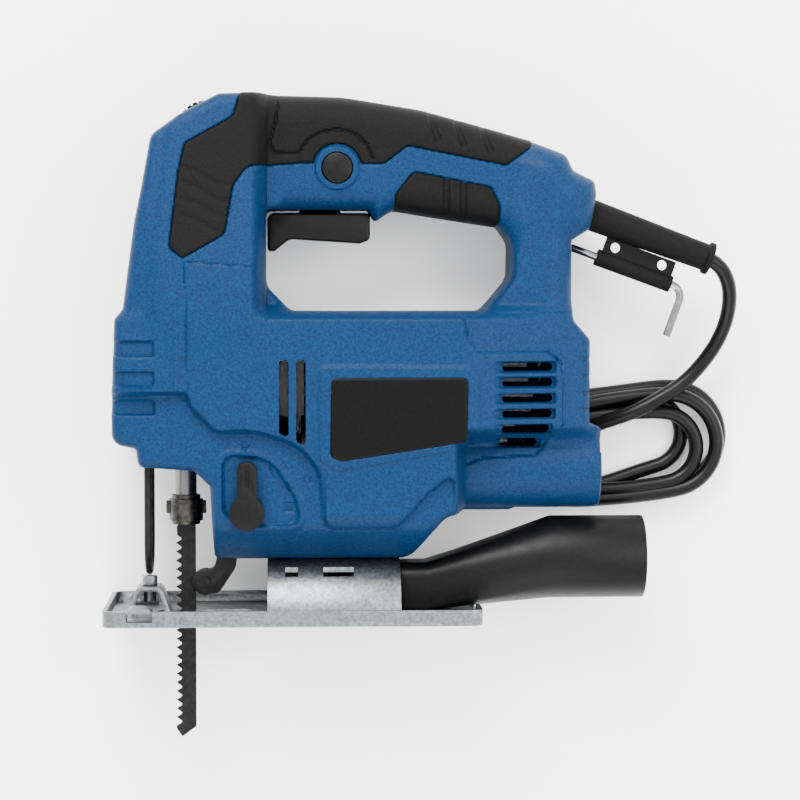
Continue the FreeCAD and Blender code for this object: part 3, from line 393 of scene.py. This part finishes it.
def signed_distance(points, x, y):
    """Distance to a closed polygon (positive inside) and the nearest boundary point."""
    best = np.full(x.shape, 1e9)
    nx, ny = np.zeros_like(x), np.zeros_like(y)
    inside = np.zeros(x.shape, bool)
    for (ax, ay), (bx, by) in zip(points, np.roll(points, -1, axis=0)):
        dx, dy = bx - ax, by - ay
        length = dx * dx + dy * dy
        if length < 1e-12:
            continue
        t = np.clip(((x - ax) * dx + (y - ay) * dy) / length, 0, 1)
        qx, qy = ax + t * dx, ay + t * dy
        d = (x - qx) ** 2 + (y - qy) ** 2
        closer = d < best
        best = np.where(closer, d, best)
        nx, ny = np.where(closer, qx, nx), np.where(closer, qy, ny)
        if ay != by:
            crossing = (ay > y) != (by > y)
            inside ^= crossing & (x < ax + dx * (y - ay) / dy)
    distance = np.sqrt(best)
    return np.where(inside, distance, -distance), nx, ny


def depth_inside(points, x, y):
    return signed_distance(points, x, y)[0]


def line_distance(points, x, y):
    """Distance to an open polyline."""
    best = np.full(x.shape, 1e9)
    for (ax, ay), (bx, by) in zip(points, points[1:]):
        dx, dy = bx - ax, by - ay
        t = np.clip(((x - ax) * dx + (y - ay) * dy) / (dx * dx + dy * dy), 0, 1)
        best = np.minimum(best, (x - ax - t * dx) ** 2 + (y - ay - t * dy) ** 2)
    return np.sqrt(best)


def smooth(low, high, t):
    s = np.clip((t - low) / (high - low), 0, 1)
    return s * s * (3 - 2 * s)


def blend(a, b, weight):
    return a * (1 - weight) + b * weight


def slot_outline(x_low, x_high, y, height):
    r = height / 2 - 0.05
    return [(x_low, y - height / 2, r), (x_high, y - height / 2, r), (x_high, y + height / 2, r),
            (x_low, y + height / 2, r)]


def circle_outline(x, y, r):
    """A circle as a square whose corners are rounded right up."""
    c = r - 0.02
    return [(x + r, y + r, c), (x - r, y + r, c), (x - r, y - r, c), (x + r, y - r, c)]


REAR_VENTS = [slot_outline(38.5, end, y, 3.3) for end, y in
              ((58.8, 100.4), (58.8, 94.4), (58.8, 88.2), (58.6, 82.2), (57.6, 76.2), (53.5, 70.3))]
FRONT_VENTS = [[(-48.3, 75, 1.2), (-44.6, 73.4, 1.2), (-44.6, 103.4, 1.2), (-48.3, 103.4, 1.2)],
               [(-41.7, 72, 1.2), (-38.0, 69.8, 1.2), (-38.0, 103.4, 1.2), (-41.7, 103.4, 1.2)]]


# ---- housing surface ----
# Half-widths, and how far things rise or sink from them, in mm. The smooth() steps below say
# where in the drawing frame each change begins and ends.
BODY_HALF, BODY_TAPER = 33.0, 13.0
HEAD_HALF, HEAD_TAPER = 34.0, 7.0
HANDLE_HALF, COLUMN_HALF, PANEL_HALF = 17.0, 20.0, 28.0
KEEL_Y, KEEL_HALF, KEEL_SLOPE, KEEL_BLEND = 24.2, 12.0, 1.22, 2.0
FLANK_DROP, NOSE_DROP, HEAD_NOSE_DROP, CREASE_DROP, CAP_DROP = 2.0, 2.0, 4.5, 1.3, 1.1
HEAD_RIB_DEPTH, REAR_RIB_DEPTH, VENT_RAMP_DEPTH, LABEL_SINK, RECESS_SINK = 1.8, 1.2, 2.2, 1.3, 1.6
RIDGE_RISE, BEZEL_RISE, RECESS_LIP, COLLAR_RISE = 0.35, 0.9, 0.55, 1.0
HEAD_RIBS = [(104.8, 110.6), (93.2, 99.0), (82.0, 87.8)]
REAR_RIBS = [103.2, 96.4, 89.6, 83.1]
# Lines in the surface: a crease round the lower panel, two seams, a ridge and the head's crease.
POCKET_LINE = [(-31.2, 59), (-31, 41.2), (-29.8, 38.4), (-27, 37.2), (-4, 37.2), (-1, 39), (10.6, 52.2)]
SEAM_REAR = [(22.4, 121.6), (24, 118.4), (24.4, 112), (29.4, 106.2), (56.4, 106.4), (62, 102), (63, 94),
             (63, 77.6), (53.1, 65.3), (31, 64.1), (24.4, 61.2), (22.8, 56.4), (22.4, 42.5)]
SEAM_FRONT = [(-53.5, 139), (-84.5, 141.4), (-84.4, 134.4), (-83.6, 91)]
RIDGE_FRONT = [(-88.4, 115.6), (-88.0, 90.5), (-77.2, 75.2)]
HEAD_CREASE = [(-96, 123), (-88, 190)]
# Grooves: line, half-width and depth.
SURFACE_GROOVES = [(POCKET_LINE, 0.9, 0.7), (SEAM_REAR, 0.65, 0.9), (SEAM_FRONT, 0.5, 0.5)]
MARK_HALF, MARK_DEPTH = 0.7, 0.6


def circle_mark(x, y, r):
    return [(x + r * math.cos(a), y + r * math.sin(a)) for a in np.linspace(0, 2 * math.pi, 13)]


# Generic setting marks round the lever: none, I, II and III strokes, and two small rings.
MARKS = [circle_mark(-61.5, 70.5, 1.4), circle_mark(-37.2, 56.8, 1.4),
         [(-52.4, 61.2), (-50.6, 57.2)], [(-47.0, 54.2), (-43.8, 51.8)], [(-46.2, 55.4), (-43.0, 53.0)],
         [(-46.5, 47.6), (-42.6, 47.6)], [(-46.5, 46.0), (-42.6, 46.0)], [(-46.5, 44.4), (-42.6, 44.4)]]


def body_half(x):
    """Half-width of the motor body, which narrows towards the rear."""
    return BODY_HALF - BODY_TAPER * np.clip((x - 24) / 52, 0, 1)


def flank_drop(y):
    """How far the flanks lean in below the middle of the motor body."""
    return FLANK_DROP * smooth(74, 48, y)


def form_height(x, y):
    """Motor body, head, handle and rear column blended into one form."""
    main = body_half(x) - NOSE_DROP * smooth(-100, -114, x)
    head = HEAD_HALF - HEAD_TAPER * np.clip((y - 122) / 85, 0, 1) ** 1.3
    head = head - HEAD_NOSE_DROP * smooth(-88, -112, x + (y - 120) * 0.22)
    back = blend(HANDLE_HALF, COLUMN_HALF, smooth(38, 52, x - (y - 160) * 0.3))
    upper = blend(head, back, smooth(-68, -52, x - (y - 165) * 0.10 * (y > 165)))
    top = blend(upper, main, smooth(125.5, 118.5, y))
    front = blend(top, blend(main, head, smooth(100, 124, y)), smooth(-50, -60, x))
    return np.where((x < -53) & (y > 100), front, top)


def panel_height(x, y, height, bezel):
    """The form with its lower panel, rear cap, motor barrel and keel."""
    panel = np.minimum(depth_inside(rounded(LOWER_PANEL), x, y), -bezel - 2.5)
    raised = height - flank_drop(y) * (x < 24)
    height = blend(raised, np.minimum(height, PANEL_HALF), smooth(-0.9, 1.5, panel))
    height = height - CAP_DROP * smooth(-0.3, 0.9, depth_inside(rounded(REAR_PANEL), x, y))
    barrel = np.sqrt(np.clip(BARREL_R ** 2 - (y - MOTOR_Y) ** 2, 0, None))
    below = smooth(77, 68.5, y) * smooth(19.5, 26, x)
    height = blend(height, np.maximum(barrel, 2.0), below)
    # the keel narrows towards the tilting base
    keel = KEEL_HALF + (y - KEEL_Y) * KEEL_SLOPE
    return np.where(x < 22, soft_minimum(height, keel, KEEL_BLEND), height)


def lever_height(x, y, height):
    """The left side's lever recess with its rim and marks, and the collar round the button."""
    recess = depth_inside(rounded(LEVER_RECESS), x, y)
    height = height + RECESS_LIP * smooth(-3.0, -2.2, recess) * smooth(0.0, -0.6, recess)
    height = height - RECESS_SINK * smooth(-0.9, 0.9, recess)
    for mark in MARKS:
        height = groove(height, line_distance(mark, x, y), MARK_HALF, MARK_DEPTH)
    return height + COLLAR_RISE * smooth(8.9, 8.3, np.hypot(x - BUTTON[0], y - BUTTON[1]))


def housing_height(x, y, side):
    """Half-width of the finished housing at (x, y), in mm; side is +1 for the tool's left."""
    bezel = depth_inside(rounded(BEZEL), x, y)
    height = panel_height(x, y, form_height(x, y), bezel)
    for line, half, depth in SURFACE_GROOVES:
        height = groove(height, line_distance(line, x, y), half, depth)
    height = height + RIDGE_RISE * smooth(0.9, 0.2, line_distance(RIDGE_FRONT, x, y))
    crease = CREASE_DROP * smooth(0, 5.5, line_side(HEAD_CREASE, x, y))
    height = height - crease * smooth(118, 126, y) * smooth(-85, -92, x)
    for y_low, y_high in HEAD_RIBS:
        box = smooth(y_low - 0.4, y_low + 0.4, y) * smooth(y_high + 0.4, y_high - 0.4, y)
        height = height - HEAD_RIB_DEPTH * box * smooth(-96.0, -97.2, x)
    for y_mid in REAR_RIBS:
        rib = smooth(1.1, 0.5, np.abs(y - y_mid))
        height = height - REAR_RIB_DEPTH * rib * smooth(70.2, 71.4, x)
    height = height + BEZEL_RISE * smooth(-0.8, 0.9, bezel)
    height = height - LABEL_SINK * smooth(-1.1, 0.3, depth_inside(rounded(LABEL), x, y))
    for vent in REAR_VENTS:
        low, high, level = vent[0][0] - 4.0, vent[1][0] + 0.8, (vent[0][1] + vent[2][1]) / 2
        along = smooth(low, low + 5, x) * smooth(high + 0.6, high, x)
        height = height - VENT_RAMP_DEPTH * (along * smooth(2.1, 1.6, np.abs(y - level)))
    return lever_height(x, y, height) if side > 0 else height


def soft_minimum(a, b, width):
    """The lower of two heights, with the crease between them blended over width."""
    low, gap = np.minimum(a, b), np.abs(a - b)
    return low - width * np.log1p(np.exp(-gap / width)) * smooth(4 * width, 2 * width, gap)


def groove(height, distance, half, depth):
    return height - depth * smooth(half, half * 0.35, distance)


def line_side(points, x, y):
    """Signed distance from a line that runs up, positive on its left (the front of the head)."""
    (ax, ay), (bx, by) = points
    length = math.hypot(bx - ax, by - ay)
    return ((bx - ax) * (y - ay) - (by - ay) * (x - ax)) / length


def edge_round(height, distance, radius):
    """Round the height off towards the silhouette, where distance is 0."""
    d = np.clip(distance, 0, radius)
    return height - radius + np.sqrt(np.clip(radius ** 2 - (radius - d) ** 2, 0, None))


# ---- meshes ----
GRID = 0.6
SMOOTH_ANGLE = math.radians(38)


def relief(name, region, holes, height_of, floor_of):
    """A relief piece over a region with holes, all given by their corners."""
    return relief_from(name, [rounded(outline) for outline in [region] + holes], height_of, floor_of)


def relief_from(name, loops, height_of, floor_of):
    """Surface over a flat region, its rim snapped to the outlines, with walls down to its floor."""
    low = loops[0].min(axis=0) - 2 * GRID
    high = loops[0].max(axis=0) + 2 * GRID
    xs = np.arange(low[0], high[0], GRID)
    ys = np.arange(low[1], high[1], GRID)
    x, y = np.meshgrid(xs, ys, indexing="ij")
    distance, nx, ny = signed_distance(loops[0], x, y)
    for loop in loops[1:]:
        d, hx, hy = signed_distance(loop, x, y)
        nearer = -d < distance
        distance = np.where(nearer, -d, distance)
        nx, ny = np.where(nearer, hx, nx), np.where(nearer, hy, ny)
    snapped = np.abs(distance) <= 0.5 * GRID
    x, y = np.where(snapped, nx, x), np.where(snapped, ny, y)
    kept = distance > -0.5 * GRID
    index = -np.ones(x.shape, int)
    index[kept] = np.arange(kept.sum())
    px, py, on_rim = x[kept], y[kept], snapped[kept]
    pz = height_of(px, py, np.where(on_rim, 0.0, distance[kept]))
    quads = np.stack([index[:-1, :-1], index[1:, :-1], index[1:, 1:], index[:-1, 1:]], axis=-1)
    quads = quads.reshape(-1, 4)
    faces = []
    for quad in quads[(quads >= 0).sum(axis=1) >= 3]:
        corners = [int(v) for v in quad if v >= 0]
        if len(corners) == 3 and all(on_rim[corners]):
            continue
        faces.append(corners)
    return build_walls(name, np.stack([px, py, pz], axis=-1), faces, floor_of)


def build_walls(name, points, faces, floor_of):
    """Mesh from a top surface, with a wall from each open edge down to the floor height."""
    edges = {}
    for face in faces:
        for a, b in zip(face, face[1:] + face[:1]):
            edges[(a, b)] = edges.get((a, b), 0) + 1
    open_edges = [(a, b) for a, b in edges if (b, a) not in edges]
    rim = sorted({v for edge in open_edges for v in edge})
    foot = {v: len(points) + i for i, v in enumerate(rim)}
    x, y, z = points[rim].T
    floor = np.stack([x, y, floor_of(x, y, z)], axis=-1)
    walls = [(b, a, foot[a], foot[b]) for a, b in open_edges]
    mesh = bpy.data.meshes.new(name)
    corners = [tuple(place(*p)) for p in np.concatenate([points, floor])]
    mesh.from_pydata(corners, [], faces + walls)
    tidy_mesh(mesh)
    return bpy.data.objects.new(name, mesh)


def tidy_mesh(mesh):
    """Merge doubled points, drop slivers and loose points, and shade smooth between sharp edges."""
    work = bmesh.new()
    work.from_mesh(mesh)
    bmesh.ops.remove_doubles(work, verts=work.verts, dist=2e-6)
    bmesh.ops.dissolve_degenerate(work, dist=1e-6, edges=work.edges)
    loose = [v for v in work.verts if not v.link_faces]
    bmesh.ops.delete(work, geom=loose, context="VERTS")
    work.to_mesh(mesh)
    work.free()
    mesh.shade_smooth()
    mesh.set_sharp_from_angle(angle=SMOOTH_ANGLE)


def flip_side(obj):
    """Mirror a left-hand piece about the parting plane."""
    for vertex in obj.data.vertices:
        vertex.co.z = 2 * HOME.z - vertex.co.z
    obj.data.flip_normals()


SILHOUETTE = rounded(OUTLINE)
OPENING = rounded(HANDLE_HOLE)
# Radii of the rounded edges: of the silhouette, its handle bar, its keel and its motor barrel,
# and of the hand opening and its upper side.
EDGE_R, BAR_R, KEEL_R, BARREL_EDGE_R = 4.0, 11.0, 2.0, 1.0
OPENING_R, GRASP_R = 3.0, 9.0
MOST_ROUNDING = 0.9          # share of the half-width that a rounded edge may take


def body_surface(x, y, side, proud=0.0):
    """Finished height of the housing with its rounded silhouette, raised by proud."""
    height = housing_height(x, y, side) + proud
    bar = smooth(-60, -46, x) * smooth(118, 128, y)
    radius = blend(blend(EDGE_R, BAR_R, bar), KEEL_R, smooth(36, 28, y))
    radius = np.where((y < 66) & (x > 22), BARREL_EDGE_R, radius)
    outer = depth_inside(SILHOUETTE, x, y)
    height = edge_round(height, outer, np.minimum(radius, height * MOST_ROUNDING))
    hole_radius = blend(OPENING_R, GRASP_R, smooth(140, 158, y) * smooth(-50, -44, x))
    hole = depth_inside(OPENING, x, y)
    return edge_round(height, -hole, np.minimum(hole_radius, height * MOST_ROUNDING))


SCREWS = [(-105, 76), (-103.2, 135), (-66, 199), (-4, 196), (57, 176), (60, 108), (-44, 112),
          (10, 112), (-48, 31)]
SCREW_HOLE_R, SCREW_SINK = 3.0, 7.5
BUTTON_HOLE_R = 6.3
RUBBER_DEPTH = 1.3           # pocket left in the shell for the rubber skins
LIP_DEPTH = 2.6              # wall of the shell at the vents
# Boxes (x low, x high, y low, y high) in which a wall stops short of the parting plane: at the
# vents, and where the trigger and the tilt bracket need a slot, whose half-width is SLOT_HALF.
REAR_VENT_BOX = (24, 65, 60, 104)
FRONT_VENT_BOX = (-50, -36, 66, 106)
TRIGGER_WAY = (-54, -9, 156.5, 163)
ARCH_WAY = (-62, 12, 0, 26)
SLOT_HALF = 8.2


def in_box(box, x, y):
    x_low, x_high, y_low, y_high = box
    return (x > x_low) & (x < x_high) & (y > y_low) & (y < y_high)


def make_shell(side):
    grips = [rounded(GRIP), rounded(FINGER_GRIP)]

    def height_of(x, y, rim):
        height = body_surface(x, y, side)
        for grip in grips:
            height = height - RUBBER_DEPTH * smooth(-0.5, 0.1, depth_inside(grip, x, y))
        return np.clip(height, 0.3, None)

    def floor_of(x, y, z):
        vent = in_box(REAR_VENT_BOX, x, y) | in_box(FRONT_VENT_BOX, x, y)
        floor = np.where(vent & (z > 12), z - LIP_DEPTH, 0.0)
        slot = in_box(TRIGGER_WAY, x, y) | in_box(ARCH_WAY, x, y)
        floor = np.where(slot, np.minimum(z, SLOT_HALF), floor)
        for sx, sy in SCREWS if side < 0 else []:
            near = np.hypot(x - sx, y - sy) < SCREW_HOLE_R + 0.2
            floor = np.where(near, np.maximum(z - SCREW_SINK, 0.2), floor)
        return floor

    holes = [HANDLE_HOLE] + REAR_VENTS + FRONT_VENTS
    if side > 0:
        holes.append(circle_outline(*BUTTON, BUTTON_HOLE_R))
    else:
        holes += [circle_outline(sx, sy, SCREW_HOLE_R) for sx, sy in SCREWS]
    end = "left" if side > 0 else "right"
    obj = relief("shell_" + end, OUTLINE, holes, height_of, floor_of)
    if side < 0:
        flip_side(obj)
    return finish_piece(obj, "housing", "shell_blue", "housing_" + end)


# ---- overmoulded grips and plates ----
SKIN = 0.25                  # how far the rubber stands proud of the shell
TOP_GROOVES = [[(-47.5, 212), (-49.5, 196), (-52.0, 187.5), (-49.8, 184.0), (-40.6, 183.8),
                (-36.6, 189.3), (-31.5, 192.2), (-24.8, 193.4), (-18.4, 191.6), (-13.6, 187.0),
                (-11.4, 182)]]
GRIP_SLOTS = [[(11.5, 203), (11.5, 196.5), (14, 189.5)], [(21.8, 200), (21.8, 193.5), (24.3, 187.5)],
              [(32.4, 197), (32.4, 190.5), (34.9, 184.8)]]
FINGER_SLOTS = [[(17.5, 159), (17.5, 174)], [(24.2, 159), (24.2, 172.6)]]
WAVES = [[(-86, 178 - drop), (-79, 175.6 - drop), (-73, 171.6 - drop), (-66, 170.2 - drop)]
         for drop in (6.2 * k for k in range(4))]
GRIP_RIM, GRIP_THICKNESS = 0.8, 1.2
LABEL_PROUD, LABEL_RIM, LABEL_THICKNESS = 1.0, 0.4, 0.8
# Groups of grooves: their lines, half-width and depth.
GRIP_CUTS = [(TOP_GROOVES, 0.8, 1.0), (GRIP_SLOTS, 1.7, 1.1), (WAVES, 1.6, 0.35)]
FINGER_CUTS = [(FINGER_SLOTS, 1.7, 1.1)]


def make_grip(name, region, cuts, side, node):
    """Rubber skin laid in its pocket, with rounded rim and moulded grooves."""
    def height_of(x, y, rim):
        height = edge_round(body_surface(x, y, side, SKIN), rim, GRIP_RIM)
        for lines, half, depth in cuts:
            for line in lines:
                height = groove(height, line_distance(line, x, y), half, depth)
        return np.clip(height, 0.05, None)

    def floor_of(x, y, z):
        at_edge = (depth_inside(SILHOUETTE, x, y) < 0.1) | (depth_inside(OPENING, x, y) > -0.1)
        return np.where(at_edge, 0.0, np.maximum(z - GRIP_THICKNESS, 0.0))

    obj = relief_from(name, [clip_to_silhouette(rounded(region))], height_of, floor_of)
    if side < 0:
        flip_side(obj)
    return finish_piece(obj, "housing", "rubber_black", node)


def pull_to(loop, x, y, outward):
    """Move the points beyond the loop, outside or inside it, to SKIN beyond its line."""
    d, nx, ny = signed_distance(loop, x, y)
    beyond = -d * outward
    share = np.where(beyond > 0, SKIN / np.maximum(beyond, SKIN), 0)
    return (np.where(beyond > 0, nx + (x - nx) * share, x),
            np.where(beyond > 0, ny + (y - ny) * share, y))


def clip_to_silhouette(points):
    """Points every 1 mm or so, pulled to just proud of the housing's outline and its opening."""
    x, y = np.concatenate([np.linspace(a, b, int(np.hypot(*(b - a))) + 2)[:-1]
                           for a, b in zip(points, np.roll(points, -1, axis=0))]).T
    x, y = pull_to(SILHOUETTE, x, y, 1)
    x, y = pull_to(OPENING, x, y, -1)
    return np.stack([x, y], axis=-1)


def make_label(side):
    def height_of(x, y, rim):
        return edge_round(body_half(x) - flank_drop(y) + LABEL_PROUD, rim, LABEL_RIM)

    def floor_of(x, y, z):
        return z - LABEL_THICKNESS

    end = "left" if side > 0 else "right"
    obj = relief("label_" + end, LABEL_SKIN, [], height_of, floor_of)
    if side < 0:
        flip_side(obj)
    # the CAD node holds both plates, so one piece stands for it
    return finish_piece(obj, "housing", "label_black", *(["side_labels"] if side > 0 else []))


# ---- small parts with their edges broken ----
SHARP_ANGLE = math.radians(35)
# CAD node: the body it rides on, and the width of its rounded edges in mm.
BROKEN_EDGES = {
    "base_plate": ("base", 0.5),
    "tilt_bracket": ("base", 0.35),
    "bracket_rivets": ("base", 0.4),
    "guide_screw": ("bar_screw", 0.35),
    "dust_tube": ("tube", 0.7),
    "strain_relief": ("housing", 0.8),
    "key_holder": ("housing", 0.4),
    "hex_key": ("key", 0.2),
    "orbital_lever": ("lever", 0.7),
    "roller_arm": ("support_arm", 0.5),
    "guide_roller": ("support_roller", 0.3),
    "trigger": ("trigger_set", 1.0),
    "lock_button": ("button", 0.6),
    "clamp_ring": ("clamp_collar", 0.25),
    "clamp_body": ("plunger_set", 0.25),
    "speed_dial": ("dial", 0.2),
}


def soften(node, body, width):
    """The part again with every sharp edge rounded off by width (mm)."""
    source = frame["nodes"][node]
    mesh = source.data.copy()
    work = bmesh.new()
    work.from_mesh(mesh)
    work.transform(source.matrix_world)
    bmesh.ops.remove_doubles(work, verts=work.verts, dist=1e-6)
    bmesh.ops.dissolve_limit(work, angle_limit=math.radians(1), verts=work.verts, edges=work.edges)
    sharp = [e for e in work.edges
             if len(e.link_faces) == 2 and e.calc_face_angle(0) > SHARP_ANGLE]
    bmesh.ops.bevel(work, geom=sharp, offset=width * MM, offset_type="OFFSET", segments=2,
                    profile=0.5, affect="EDGES", clamp_overlap=True)
    work.to_mesh(mesh)
    work.free()
    mesh.shade_smooth()
    mesh.set_sharp_from_angle(angle=SMOOTH_ANGLE)
    return finish_piece(bpy.data.objects.new(node + "_finish", mesh), body, SLOT_OF[node], node)


def main():
    make_camera()
    cord = make_cord()
    finish_piece(cord, "housing", "cord_pvc", "cord_lead", "cord_coil", "cord_tail")
    soften("mains_plug", "housing", 1.0)
    make_floor()
    make_lights()
    dress_cad_nodes()
    for side in (1, -1):
        end = "left" if side > 0 else "right"
        make_shell(side)
        make_grip("grip_skin_" + end, GRIP, GRIP_CUTS, side, "grip_" + end)
        make_grip("finger_skin_" + end, FINGER_GRIP, FINGER_CUTS, side, "finger_grip_" + end)
        make_label(side)
    for node, (body, width) in BROKEN_EDGES.items():
        soften(node, body, width)


main()
